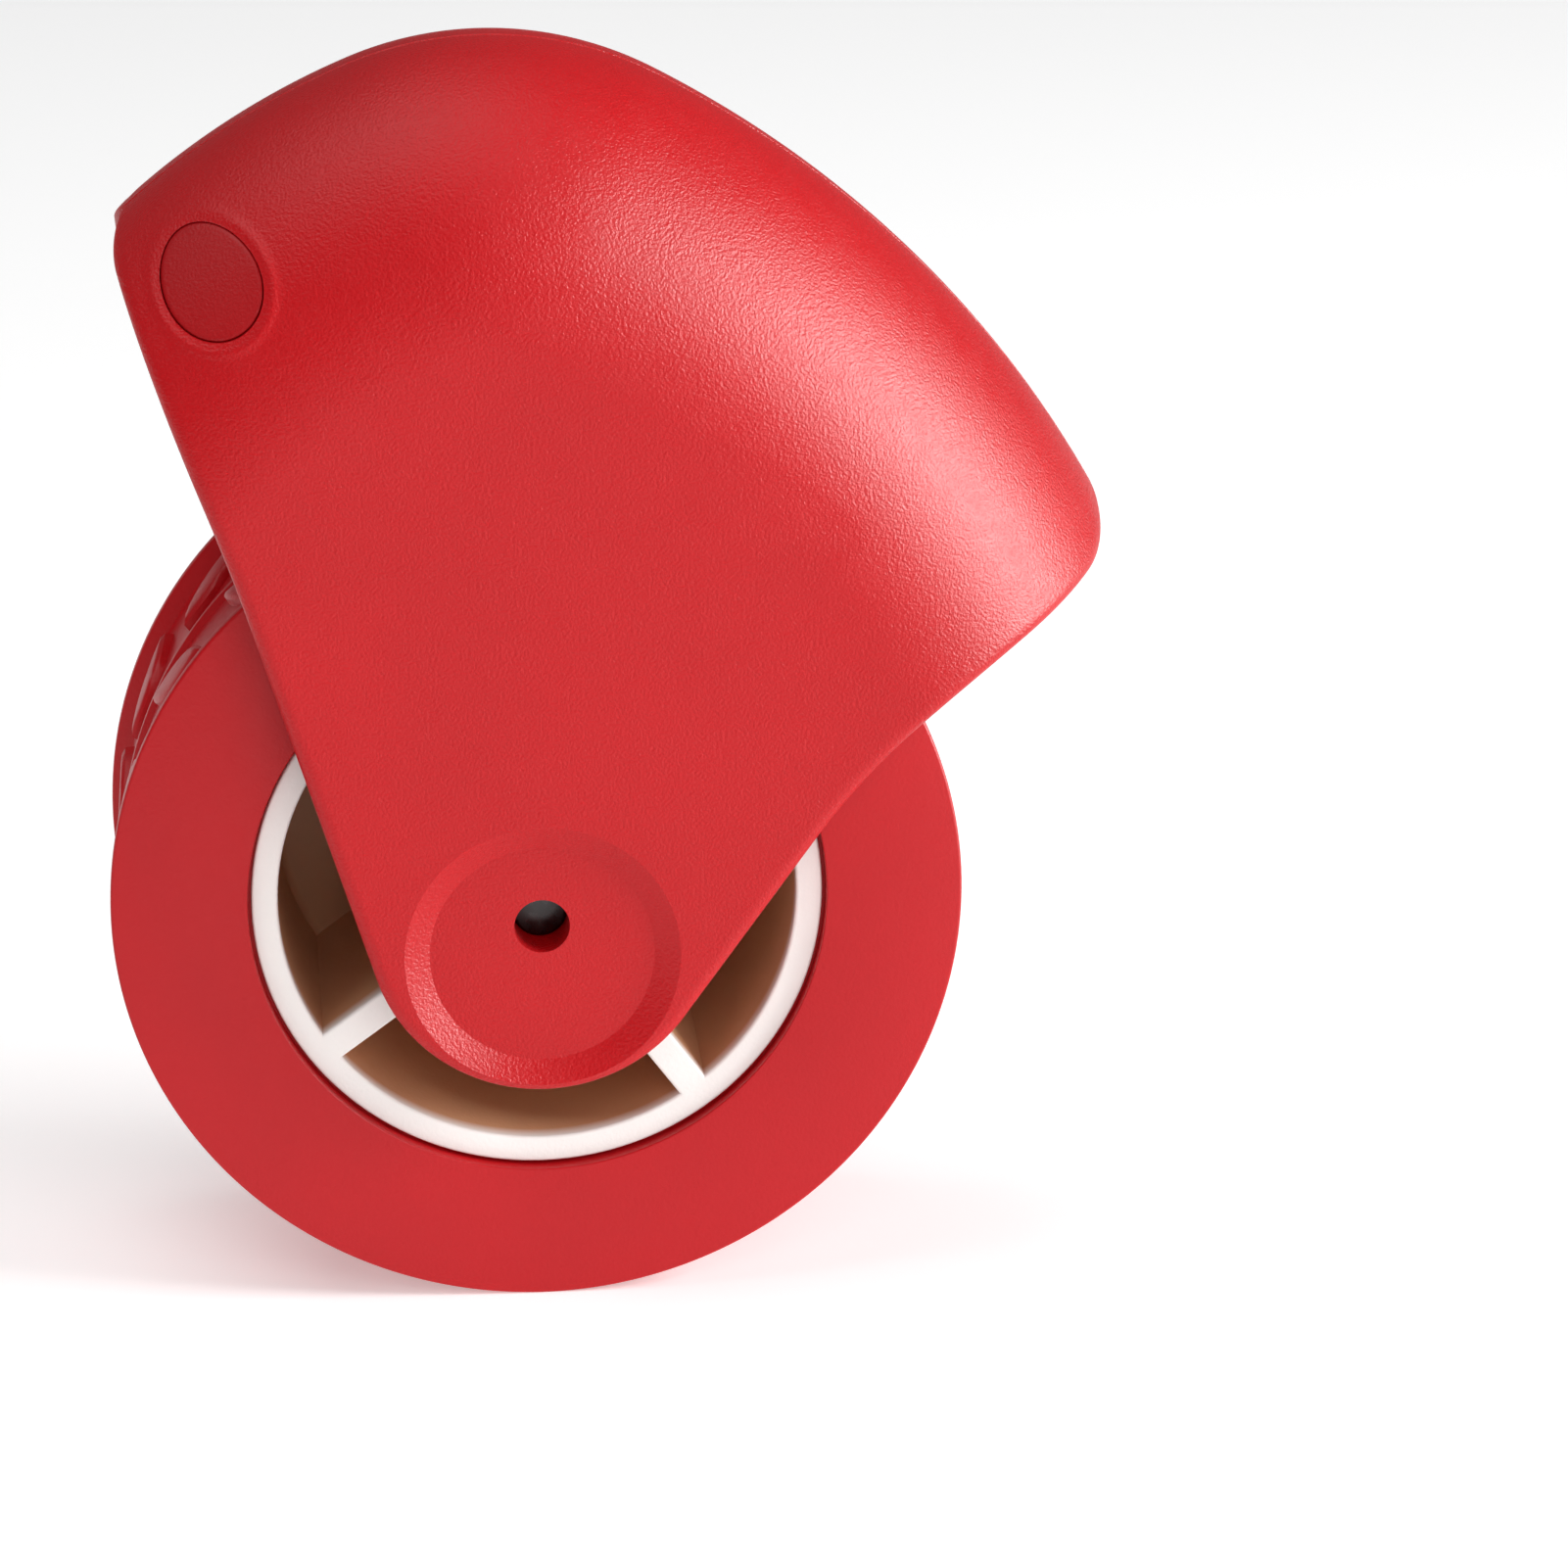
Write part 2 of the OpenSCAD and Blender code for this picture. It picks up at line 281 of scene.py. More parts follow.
def cut(piece, cutter, operation="DIFFERENCE"):
    """Applies one exact boolean to a piece and deletes the cutter."""
    step = piece.modifiers.new("cut", "BOOLEAN")
    step.operation = operation
    step.solver = "EXACT"
    step.object = cutter
    old = piece.data
    settled(piece)
    bpy.data.meshes.remove(old)
    bpy.data.objects.remove(cutter)


# ---------------------------------------------------------------- grip shape


def direction(turn):
    return Vector((math.cos(turn), math.sin(turn)))


class GripShape:
    """The grip seen from the front, about the axle: its outline, and how far out it stands."""

    LEFT = {"lean": math.radians(17.4), "run": 39 * MM, "flare": 170 * MM,
            "turn": math.radians(4)}
    RIGHT = {"lean": math.radians(35.5), "run": 22.5 * MM, "flare": 67 * MM,
             "turn": math.radians(24.5)}
    LEFT_LEG = Vector((-5, 12)).normalized()
    RIGHT_LEG = Vector((8, 15)).normalized()
    SPINE_TOP = Vector((2 * MM, 44 * MM))
    ARM_STEPS = 100
    EDGE_STEPS = 26
    CROWN_STEPS = (90, 50, 52)
    ROUNDING_SHARE = 0.3

    def __init__(self, grip):
        self.grip = grip
        self.arm_r = grip.arm_radius
        self.crown_r = grip.crown_radius
        self.left_r = grip.crown_left_radius
        self.right_r = grip.crown_right_radius
        self.corner_r = grip.corner_radius
        self.crown_c = Vector((-grip.crown_offset, CROWN_TOP - self.crown_r))
        self.left_c = self.crown_c - (self.left_r - self.crown_r) * self.LEFT_LEG
        self.right_c = self.crown_c - (self.right_r - self.crown_r) * self.RIGHT_LEG
        flipped = Vector((-self.left_c.x, self.left_c.y))
        self.left_corner = self.corner(self.LEFT, flipped, self.left_r)
        self.right_corner = self.corner(self.RIGHT, self.right_c, self.right_r)
        self.left_touch = math.atan2(*(self.left_corner - flipped).yx)
        self.right_touch = math.atan2(*(self.right_corner - self.right_c).yx)

    @staticmethod
    def heading(lean):
        return Vector((math.sin(lean), math.cos(lean)))

    @staticmethod
    def side(lean):
        return Vector((math.cos(lean), -math.sin(lean)))

    def flare_centre(self, edge):
        reach = self.arm_r + edge["flare"]
        return reach * self.side(edge["lean"]) + edge["run"] * self.heading(edge["lean"])

    def corner(self, edge, crown_c, crown_r):
        last = edge["lean"] + edge["turn"]
        start = self.flare_centre(edge) - (edge["flare"] + self.corner_r) * self.side(last)
        p = start - crown_c
        inner = crown_r - self.corner_r
        along = -p.dot(self.heading(last))
        s = along + math.sqrt(along * along - p.dot(p) + inner * inner)
        return start + s * self.heading(last)

    def edge_points(self, edge, corner, touch, steps):
        """(point, how far along the edge) from the arm's round end to the crown."""
        lean, turn = edge["lean"], edge["turn"]
        middle = self.flare_centre(edge)
        points = [self.arm_r * self.side(lean) + edge["run"] * k / steps * self.heading(lean)
                  for k in range(steps)]
        points += [middle - edge["flare"] * self.side(lean + turn * k / steps)
                   for k in range(steps + 1)]
        last = lean + turn
        start = points[-1]
        end = corner + self.corner_r * self.side(last)
        points += [start.lerp(end, k / steps) for k in range(1, steps)]
        bend = [corner + self.corner_r * direction(-last + (touch + last) * k / steps)
                for k in range(steps + 1)]
        along = [k / (len(points) - 1) for k in range(len(points))]
        return list(zip(points, along)) + [(p, 1.0) for p in bend]

    def outline(self):
        """Pairs of an outline point and the point on the spine that it is drawn towards."""
        top = self.SPINE_TOP
        right_touch, left_touch = self.right_touch, self.left_touch
        pairs = []
        first = math.pi + self.LEFT["lean"]
        final = TAU - self.RIGHT["lean"]
        for k in range(1, self.ARM_STEPS):
            turn = first + (final - first) * k / self.ARM_STEPS
            pairs.append((self.arm_r * direction(turn), Vector((0, 0))))
        right = self.edge_points(self.RIGHT, self.right_corner, right_touch, self.EDGE_STEPS)
        for p, along in right:
            pairs.append((p, top * along))
        from_turn = math.atan2(self.RIGHT_LEG.y, self.RIGHT_LEG.x)
        to_turn = math.atan2(self.LEFT_LEG.y, self.LEFT_LEG.x)
        right_steps, top_steps, left_steps = self.CROWN_STEPS
        for middle, radius, start, end, count in (
                (self.right_c, self.right_r, right_touch, from_turn, right_steps),
                (self.crown_c, self.crown_r, from_turn, to_turn, top_steps),
                (self.left_c, self.left_r, to_turn, math.pi - left_touch, left_steps)):
            for k in range(1, count):
                pairs.append((middle + radius * direction(start + (end - start) * k / count), top))
            pairs.append((middle + radius * direction(end), top))
        pairs.pop()
        left = self.edge_points(self.LEFT, self.left_corner, left_touch, self.EDGE_STEPS)
        for p, along in reversed(left):
            pairs.append((Vector((-p.x, p.y)), top * along))
        return pairs

    def below_crown(self, p):
        """How far a point lies inside the crown's arcs."""
        turn = math.degrees(math.atan2(p.y - self.crown_c.y, p.x - self.crown_c.x))
        turn = turn + 360 if turn < -90 else turn
        right_turn = math.degrees(math.atan2(self.RIGHT_LEG.y, self.RIGHT_LEG.x))
        left_turn = math.degrees(math.atan2(self.LEFT_LEG.y, self.LEFT_LEG.x))
        if turn < right_turn:
            return self.right_r - (p - self.right_c).length
        if turn > left_turn:
            return self.left_r - (p - self.left_c).length
        return self.crown_r - (p - self.crown_c).length

    def inside_edge(self, p, edge, corner, touch):
        """How far a point lies inside one side wall."""
        lean, last = edge["lean"], edge["lean"] + edge["turn"]
        away = p - self.flare_centre(edge)
        turn = lean + math.atan2((-away).cross(self.side(lean)), (-away).dot(self.side(lean)))
        out = p - corner
        if out.dot(self.heading(last)) > 0 and out.dot(self.side(last)) > 0:
            if math.atan2(*out.yx) > touch:
                return (out - self.corner_r * direction(touch)).length
            return self.corner_r - out.length
        if turn < lean:
            if p.dot(self.heading(lean)) < 0:
                on_this_side = p.dot(self.side(lean)) > 0
                return self.arm_r - p.length if on_this_side else self.arm_r
            return self.arm_r - p.dot(self.side(lean))
        if turn < last:
            return away.length - edge["flare"]
        return -away.dot(self.side(last)) - edge["flare"]

    def inside_walls(self, p):
        right = self.inside_edge(p, self.RIGHT, self.right_corner, self.right_touch)
        left = self.inside_edge(Vector((-p.x, p.y)), self.LEFT, self.left_corner,
                                self.left_touch)
        return max(min(left, right), 0)

    def stands_out(self, p):
        """Distance of the outer surface from the parting plane."""
        depth = min(max(self.below_crown(p), 0), HALF_T)
        height = math.sqrt(HALF_T * HALF_T - (HALF_T - depth) ** 2)
        rounding = min(self.grip.edge_radius, self.ROUNDING_SHARE * height)
        near = min(self.inside_walls(p), rounding)
        height -= rounding - math.sqrt(rounding * rounding - (rounding - near) ** 2)
        return height


# Rings of points drawn in from the outline, in mm: dense over the rounded edge, then even.
EDGE_REACHES = [0, 0.05, 0.13, 0.25, 0.42, 0.65, 0.95, 1.35]
EVEN_REACH = 0.55
EVEN_RINGS = 44
SPINE_SHARE = 0.85
INNER_SHARES = (0.25, 0.5, 0.75, 1)
GRIP_MIDDLE = Vector((2 * MM, 40 * MM))


def shell_bmesh(shape, front, lip):
    """One half of the grip, closed by a flat face at the parting plane."""
    grip = shape.grip
    pairs = shape.outline()
    reaches = EDGE_REACHES + [EDGE_REACHES[-1] + EVEN_REACH * k for k in range(1, EVEN_RINGS + 1)]
    longest = reaches[-1]
    plug_at = Vector((PLUG_AT.x, PLUG_AT.z))
    bm = bmesh.new()

    def ring(points):
        return [bm.verts.new((p.x, 0, p.y)) for p in points]

    def drawn_in(p, spine, reach):
        way = spine - p
        scale = min(1, SPINE_SHARE * way.length / (longest * MM))
        return p + way.normalized() * reach * MM * scale

    rings = [ring([drawn_in(p, spine, reach) for p, spine in pairs]) for reach in reaches]
    rings += [ring([drawn_in(p, spine, longest).lerp(spine, share) for p, spine in pairs])
              for share in INNER_SHARES]
    join_rings(bm, rings)
    bmesh.ops.remove_doubles(bm, verts=bm.verts, dist=1e-6)
    bmesh.ops.dissolve_degenerate(bm, edges=bm.edges, dist=1e-7)

    if lip:
        radius = PLUG_R + LIP_REACH
        edges = [e for e in bm.edges
                 if all((Vector((v.co.x, v.co.z)) - plug_at).length < radius for v in e.verts)]
        bmesh.ops.subdivide_edges(bm, edges=edges, cuts=2, use_grid_fill=True)
    rim = [e for e in bm.edges if e.is_boundary]
    for v in bm.verts:
        p = Vector((v.co.x, v.co.z))
        height = shape.stands_out(p)
        if lip:
            r = (p - plug_at).length
            height += lip * math.exp(-(((r - PLUG_R - LIP_OUT) / LIP_SPREAD) ** 2))
        v.co.y = -max(height, grip.seam)
    made = bmesh.ops.extrude_edge_only(bm, edges=rim)["geom"]
    low = [g for g in made if isinstance(g, bmesh.types.BMVert)]
    inward = {}
    for v in low:
        neighbours = [e.other_vert(v) for e in v.link_edges if e.other_vert(v) in low]
        if len(neighbours) == 2:
            along = neighbours[1].co - neighbours[0].co
            normal = Vector((along.z, 0, -along.x)).normalized()
            to_middle = Vector((GRIP_MIDDLE.x - v.co.x, 0, GRIP_MIDDLE.y - v.co.z))
            if normal.dot(to_middle) < 0:
                normal = -normal
            inward[v] = normal * grip.seam
    for v in low:
        v.co.y = 0
        v.co += inward.get(v, Vector())
    flat_rim = [e for e in bm.edges if e.is_boundary]
    bmesh.ops.contextual_create(bm, geom=flat_rim)
    if not front:
        bmesh.ops.scale(bm, vec=(1, -1, 1), verts=bm.verts)
    bmesh.ops.translate(bm, vec=AXLE, verts=bm.verts)
    bmesh.ops.recalc_face_normals(bm, faces=bm.faces)
    return bm


def cylinder_bmesh(radius, low, high, at=(0, 0), steps=256, high_radius=None):
    """A closed cylinder or cone along the axle, about a point in the front view."""
    bm = bmesh.new()
    rings = []
    for y, r in ((low, radius), (high, high_radius or radius)):
        rings.append([bm.verts.new((AXLE.x + at[0] + r * math.cos(TAU * k / steps), y,
                                    AXLE.z + at[1] + r * math.sin(TAU * k / steps)))
                      for k in range(steps)])
    close_rings(bm, rings)
    bmesh.ops.recalc_face_normals(bm, faces=bm.faces)
    return bm


# ---------------------------------------------------------------- materials


def material(name):
    made = bpy.data.materials.new(name)
    made.use_nodes = True
    return made, made.node_tree, made.node_tree.nodes["Principled BSDF"]


def noise(tree, coordinates, scale, detail=3.0, roughness=0.5):
    node = tree.nodes.new("ShaderNodeTexNoise")
    node.inputs["Scale"].default_value = scale
    node.inputs["Detail"].default_value = detail
    node.inputs["Roughness"].default_value = roughness
    tree.links.new(coordinates.outputs["Object"], node.inputs["Vector"])
    return node


def spread(tree, source, low, high, from_low=0.3, from_high=0.7):
    node = tree.nodes.new("ShaderNodeMapRange")
    node.inputs["From Min"].default_value = from_low
    node.inputs["From Max"].default_value = from_high
    node.inputs["To Min"].default_value = low
    node.inputs["To Max"].default_value = high
    tree.links.new(source, node.inputs["Value"])
    return node.outputs["Result"]


def moulded_plastic(name, colour, roughness, grain, grain_scale=2600):
    """Moulded plastic: a fine spark-eroded grain, slight clouding and handling scuffs."""
    made, tree, surface = material(name)
    place = tree.nodes.new("ShaderNodeTexCoord")
    clouding = noise(tree, place, scale=55, detail=2)
    shade = tree.nodes.new("ShaderNodeMix")
    shade.data_type = "RGBA"
    shade.inputs["A"].default_value = (*[c * 0.97 for c in colour], 1)
    shade.inputs["B"].default_value = (*[min(c * 1.03, 1) for c in colour], 1)
    tree.links.new(spread(tree, clouding.outputs["Fac"], 0, 1), shade.inputs["Factor"])
    tree.links.new(shade.outputs["Result"], surface.inputs["Base Color"])
    scuffs = noise(tree, place, scale=420, detail=6, roughness=0.65)
    tree.links.new(spread(tree, scuffs.outputs["Fac"], roughness - 0.04, roughness + 0.05),
                   surface.inputs["Roughness"])
    fine = noise(tree, place, scale=grain_scale, detail=2)
    bump = tree.nodes.new("ShaderNodeBump")
    bump.inputs["Strength"].default_value = grain
    bump.inputs["Distance"].default_value = 0.00016
    tree.links.new(fine.outputs["Fac"], bump.inputs["Height"])
    tree.links.new(bump.outputs["Normal"], surface.inputs["Normal"])
    surface.inputs["IOR"].default_value = 1.5
    surface.inputs["Specular IOR Level"].default_value = 0.32
    return made


def drum_plastic(name, white, inside):
    """White plastic, with painted shade: its pockets behind the front face are coloured a warm tan
    that stands in for their shadow and warm bounce light.
    """
    made = moulded_plastic(name, white, roughness=0.36, grain=0.2)
    tree = made.node_tree
    surface = tree.nodes["Principled BSDF"]
    clouded = surface.inputs["Base Color"].links[0].from_socket
    place = tree.nodes.new("ShaderNodeTexCoord")
    parts = tree.nodes.new("ShaderNodeSeparateXYZ")
    tree.links.new(place.outputs["Object"], parts.inputs["Vector"])
    # Painted shade mask: 0 on the front face, rising to 1 from about 2 mm behind it, and back to 0
    # just before the rear face.
    face = -HALF_W + DRUM_SET_BACK
    depth = spread(tree, parts.outputs["Y"], low=0, high=1,
                   from_low=face + 0.2 * MM, from_high=face + 2.2 * MM)
    behind = spread(tree, parts.outputs["Y"], low=1, high=0,
                    from_low=-face - 0.6 * MM, from_high=-face - 0.3 * MM)
    painted_shade_mask = tree.nodes.new("ShaderNodeMath")
    painted_shade_mask.operation = "MULTIPLY"
    tree.links.new(depth, painted_shade_mask.inputs[0])
    tree.links.new(behind, painted_shade_mask.inputs[1])
    shade = tree.nodes.new("ShaderNodeMix")
    shade.data_type = "RGBA"
    tree.links.new(clouded, shade.inputs["A"])
    shade.inputs["B"].default_value = (*inside, 1)
    tree.links.new(painted_shade_mask.outputs[0], shade.inputs["Factor"])
    tree.links.new(shade.outputs["Result"], surface.inputs["Base Color"])
    return made


def hole_shade_steel(name):
    """Steel bar with a near-black colour that is painted shade for the deep axle hole: fine lines
    along the bar, slightly uneven brightness.
    """
    made, tree, surface = material(name)
    place = tree.nodes.new("ShaderNodeTexCoord")
    stretch = tree.nodes.new("ShaderNodeMapping")
    stretch.inputs["Scale"].default_value = (1, 12, 1)
    tree.links.new(place.outputs["Object"], stretch.inputs["Vector"])
    lines = tree.nodes.new("ShaderNodeTexNoise")
    lines.inputs["Scale"].default_value = 700
    tree.links.new(stretch.outputs["Vector"], lines.inputs["Vector"])
    tree.links.new(spread(tree, lines.outputs["Fac"], 0.2, 0.36), surface.inputs["Roughness"])
    # Painted shade: the near-black base colour stands in for the shadow down the axle hole, where
    # the pin end sits.
    surface.inputs["Base Color"].default_value = (0.06, 0.055, 0.055, 1)
    surface.inputs["Metallic"].default_value = 1.0
    return made


def stage_white(name):
    """Smooth pale paper sweep."""
    made, tree, surface = material(name)
    surface.inputs["Base Color"].default_value = (0.92, 0.92, 0.92, 1)
    surface.inputs["Roughness"].default_value = 0.8
    surface.inputs["Emission Color"].default_value = (1, 1, 1, 1)
    surface.inputs["Emission Strength"].default_value = 0.34
    return made


def finish_of(key):
    """The object's finishes, each made once."""
    name = f"pastry_{key}"
    if name in bpy.data.materials:
        return bpy.data.materials[name]
    look = bpy.context.scene.pastry_wheel_look
    # The grip's red darkened as painted shade for the plug's recess.
    plug_shaded_red = [c * PLUG_PAINTED_SHADE for c in look.grip_red]
    makers = {
        "grip": lambda: moulded_plastic(name, look.grip_red, roughness=0.4, grain=0.7,
                                        grain_scale=3400),
        "plug": lambda: moulded_plastic(name, plug_shaded_red, roughness=0.46, grain=0.45,
                                        grain_scale=3600),
        "wheel": lambda: moulded_plastic(name, look.wheel_red, roughness=0.4, grain=0.22),
        "drum": lambda: drum_plastic(name, look.drum_white, look.drum_painted_shade),
        "steel": lambda: hole_shade_steel(name),
    }
    return makers[key]()


# ---------------------------------------------------------------- pieces


class PASTRY_OT_grip(bpy.types.Operator):
    """Build the two moulded grip shells"""

    bl_idname = "pastry.grip"
    bl_label = "Grip shells"

    def execute(self, context):
        grip = context.scene.pastry_wheel_grip
        shape = GripShape(grip)
        red = finish_of("grip")
        for name, front in (("front_shell_skin", True), ("rear_shell_skin", False)):
            way = -1 if front else 1
            shell = shown(name, shell_bmesh(shape, front, PLUG_LIP if front else 0), red)
            over = 0.5 * MM
            flare = (grip.dish_radius - grip.dish_floor_radius) / grip.dish_depth
            dish = cylinder_bmesh(grip.dish_radius + over * flare, way * (HALF_T + over),
                                  way * (HALF_T - grip.dish_depth), at=(0, -grip.dish_drop),
                                  high_radius=grip.dish_floor_radius)
            cut(shell, shown("dish", dish, red))
            space = sorted((way * grip.wheel_space_half, -way * PAST))
            cut(shell, shown("space", cylinder_bmesh(grip.wheel_space, *space), red))
            collar = sorted((way * COLLAR_HALF, way * (grip.wheel_space_half + PAST)))
            cut(shell, shown("collar", cylinder_bmesh(COLLAR_R, *collar, steps=96), red), "UNION")
            hole = sorted((way * (HALF_T + PAST), way * HOLE_END))
            cut(shell, shown("hole", cylinder_bmesh(PIN_R + FIT, *hole, steps=64), red))
            if front:
                seat = cylinder_bmesh(PLUG_R + PLUG_GAP, -HALF_T, -PLUG_SEAT,
                                      at=(PLUG_AT.x, PLUG_AT.z), steps=96)
                cut(shell, shown("seat", seat, red))
            smooth(shell, SHELL_SHARP)
            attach(shell, "handle")
            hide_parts(name.replace("_skin", ""))
        return {"FINISHED"}


class PASTRY_OT_plug(bpy.types.Operator):
    """Build the contoured plug over the handle screw"""

    bl_idname = "pastry.plug"
    bl_label = "Screw plug"

    def execute(self, context):
        shape = GripShape(context.scene.pastry_wheel_grip)
        centre = Vector((PLUG_AT.x, PLUG_AT.z))
        bm = bmesh.new()
        steps = 72
        sink = 0.12 * MM
        rounding = 0.35 * MM
        shares = [0.12, 0.3, 0.5, 0.68, 0.82, 0.9, 0.94, 0.97, 0.99, 1]
        rings = []
        for share in shares:
            r = PLUG_R * share
            near = min(PLUG_R - r, rounding)
            drop = rounding - math.sqrt(rounding * rounding - (rounding - near) ** 2)
            points = [centre + r * direction(TAU * k / steps) for k in range(steps)]
            rings.append([bm.verts.new((p.x, -(shape.stands_out(p) - sink - drop), p.y))
                          for p in points])
        rings.append([bm.verts.new((v.co.x, -PLUG_BASE, v.co.z)) for v in rings[-1]])
        close_rings(bm, rings)
        bmesh.ops.translate(bm, vec=AXLE, verts=bm.verts)
        bmesh.ops.recalc_face_normals(bm, faces=bm.faces)
        plug = shown("screw_plug_cap", bm, finish_of("plug"))
        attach(plug, "handle")
        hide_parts("screw_plug")
        return {"FINISHED"}


class PASTRY_OT_ring(bpy.types.Operator):
    """Build the red cutting ring with its two raised rims and central stem"""

    bl_idname = "pastry.ring"
    bl_label = "Cutting ring"

    def execute(self, context):
        roller = context.scene.pastry_wheel_roller
        band = WHEEL_R - roller.band_depth
        inner = DRUM_R + FIT
        groove = inner + 0.35 * MM
        depth = 2.2 * MM
        tight, foot, fine = 0.15 * MM, 0.2 * MM, 0.3 * MM
        w = HALF_W
        land = roller.rim_land
        stem = 0.9 * MM
        crest = band + 0.6 * MM
        corners = [
            (inner, -w + depth, 0), (groove, -w + depth, 0), (groove, -w, tight),
            (WHEEL_R, -w, fine), (WHEEL_R, -w + land, fine),
            (band, -w + land + RIM_FLANK, fine),
            (band, -stem, foot), (crest, -stem / 2, fine),
            (crest, stem / 2, fine), (band, stem, foot),
            (band, w - land - RIM_FLANK, fine),
            (WHEEL_R, w - land, fine), (WHEEL_R, w, fine),
            (groove, w, tight), (groove, w - depth, 0), (inner, w - depth, 0)]
        ring = shown("cutter_ring_skin", revolve(rounded(corners), 256), finish_of("wheel"))
        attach(ring, "wheel")
        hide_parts("cutter_ring", "ring_cover")
        return {"FINISHED"}


def leaf_mesh(length, width, height, sunk):
    """One pointed oval pad whose outward side is +X, closed and softly crowned."""
    bm = bmesh.new()
    steps = 12
    bow = (length * length / 4 + width * width / 4) / width
    half_turn = math.asin(length / 2 / bow)
    edge = []
    for side in (1, -1):
        for k in range(steps):
            turn = -half_turn + 2 * half_turn * k / steps
            across = side * (bow * math.cos(turn) - (bow - width / 2))
            edge.append((across, side * bow * math.sin(turn)))
    levels = ((-sunk, 1), (height * 0.6, 0.96), (height * 0.9, 0.86), (height, 0.7))
    rings = [[bm.verts.new((x, s * p[0], s * p[1])) for p in edge] for x, s in levels]
    close_rings(bm, rings)
    bmesh.ops.recalc_face_normals(bm, faces=bm.faces)
    return bm


def leaf_tree():
    """Rows of leaves round the ring on both sides of the stem."""
    tree = bpy.data.node_groups.new("Pastry leaf rows", "GeometryNodeTree")
    face = tree.interface
    face.new_socket("Leaf", in_out="INPUT", socket_type="NodeSocketGeometry")
    face.new_socket("Count", in_out="INPUT", socket_type="NodeSocketInt")
    for name in ("Radius", "Across", "Tilt", "Axle X", "Axle Z"):
        face.new_socket(name, in_out="INPUT", socket_type="NodeSocketFloat")
    face.new_socket("Finish", in_out="INPUT", socket_type="NodeSocketMaterial")
    face.new_socket("Geometry", in_out="OUTPUT", socket_type="NodeSocketGeometry")
    given = tree.nodes.new("NodeGroupInput")
    result = tree.nodes.new("NodeGroupOutput")

    def node(kind, **settings):
        made = tree.nodes.new(kind)
        for key, value in settings.items():
            setattr(made, key, value)
        return made

    def wire(source, target):
        tree.links.new(source, target)

    def maths(operation, a, b):
        made = node("ShaderNodeMath", operation=operation)
        for value, socket in ((a, made.inputs[0]), (b, made.inputs[1])):
            if isinstance(value, (int, float)):
                socket.default_value = value
            else:
                wire(value, socket)
        return made.outputs[0]

    circle = node("GeometryNodeMeshCircle")
    wire(given.outputs["Count"], circle.inputs["Vertices"])
    wire(given.outputs["Radius"], circle.inputs["Radius"])
    index = node("GeometryNodeInputIndex")
    step = maths("DIVIDE", TAU, given.outputs["Count"])
    turn = maths("MULTIPLY", index.outputs[0], step)
    facing = node("ShaderNodeCombineXYZ")
    wire(turn, facing.inputs["Z"])
    joined = node("GeometryNodeJoinGeometry")
    for side in (1, -1):
        tilt = node("ShaderNodeCombineXYZ")
        wire(maths("MULTIPLY", given.outputs["Tilt"], side), tilt.inputs["X"])
        shift = node("ShaderNodeCombineXYZ")
        wire(maths("MULTIPLY", given.outputs["Across"], side), shift.inputs["Z"])
        placed = node("GeometryNodeTransform")
        wire(given.outputs["Leaf"], placed.inputs["Geometry"])
        wire(tilt.outputs[0], placed.inputs["Rotation"])
        wire(shift.outputs[0], placed.inputs["Translation"])
        spots = node("GeometryNodeInstanceOnPoints")
        wire(circle.outputs["Mesh"], spots.inputs["Points"])
        wire(placed.outputs["Geometry"], spots.inputs["Instance"])
        wire(facing.outputs[0], spots.inputs["Rotation"])
        half_step = node("ShaderNodeCombineXYZ")
        wire(maths("MULTIPLY", step, 0.25 * side), half_step.inputs["Z"])
        row = node("GeometryNodeTransform")
        wire(spots.outputs["Instances"], row.inputs["Geometry"])
        wire(half_step.outputs[0], row.inputs["Rotation"])
        wire(row.outputs["Geometry"], joined.inputs["Geometry"])
    upright = node("GeometryNodeTransform")
    upright.inputs["Rotation"].default_value = (math.pi / 2, 0, 0)
    at = node("ShaderNodeCombineXYZ")
    wire(given.outputs["Axle X"], at.inputs["X"])
    wire(given.outputs["Axle Z"], at.inputs["Z"])
    wire(joined.outputs["Geometry"], upright.inputs["Geometry"])
    wire(at.outputs[0], upright.inputs["Translation"])
    real = node("GeometryNodeRealizeInstances")
    wire(upright.outputs["Geometry"], real.inputs["Geometry"])
    painted = node("GeometryNodeSetMaterial")
    wire(real.outputs["Geometry"], painted.inputs["Geometry"])
    wire(given.outputs["Finish"], painted.inputs["Material"])
    wire(painted.outputs["Geometry"], result.inputs["Geometry"])
    return tree


def set_inputs(modifier, **values):
    """Sets a Geometry Nodes modifier's inputs by their sockets' identifiers."""
    for item in modifier.node_group.interface.items_tree:
        if item.item_type == "SOCKET" and item.in_out == "INPUT" and item.name in values:
            modifier[item.identifier] = values[item.name]


class PASTRY_OT_leaves(bpy.types.Operator):
    """Build the embossing leaves on the ring's band"""

    bl_idname = "pastry.leaves"
    bl_label = "Embossing leaves"

    def execute(self, context):
        roller = context.scene.pastry_wheel_roller
        red = finish_of("wheel")
        sunk = 0.4 * MM
        length, width = 12.4 * MM, 5.2 * MM
        tilt = math.radians(50)
        leaves = shown("embossing_leaves", leaf_mesh(length, width, roller.leaf_height, sunk), red)
        rows = leaves.modifiers.new("Leaf rows", "NODES")
        rows.node_group = leaf_tree()
        band = WHEEL_R - roller.band_depth
        set_inputs(rows, Count=roller.leaves, Radius=band, Tilt=tilt,
                   Across=(HALF_W - roller.rim_land - RIM_FLANK) / 2, Finish=red,
                   **{"Axle X": AXLE.x, "Axle Z": AXLE.z})
        settled(leaves)
        smooth(leaves)
        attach(leaves, "wheel")
        return {"FINISHED"}


